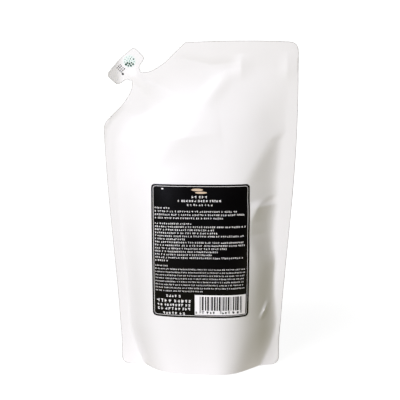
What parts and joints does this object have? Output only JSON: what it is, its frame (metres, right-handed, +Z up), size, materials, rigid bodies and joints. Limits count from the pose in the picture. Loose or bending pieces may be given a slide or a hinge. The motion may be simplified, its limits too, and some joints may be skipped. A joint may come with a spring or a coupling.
{
  "type": "stand-up lotion refill pouch",
  "caption": "Filled stand-up refill pouch of white film with a pleated base, sealed edges, a tear-off film spout across one corner and a black front label.",
  "frame": {"origin": "on the surface that the pouch stands on, midway between its side seals and between its front and back", "axes": "+Z up, -Y out of the labelled front, +X to the right seen from the front, so the spout is towards -X"},
  "size_m": [0.1493, 0.0615, 0.2552],
  "materials": {
    "film": "satin white laminated film, heat sealed",
    "label": "black printed adhesive label, semi-gloss"
  },
  "bodies": {
    "root": {"pouch": "film", "label": "label"}
  },
  "joints": []
}
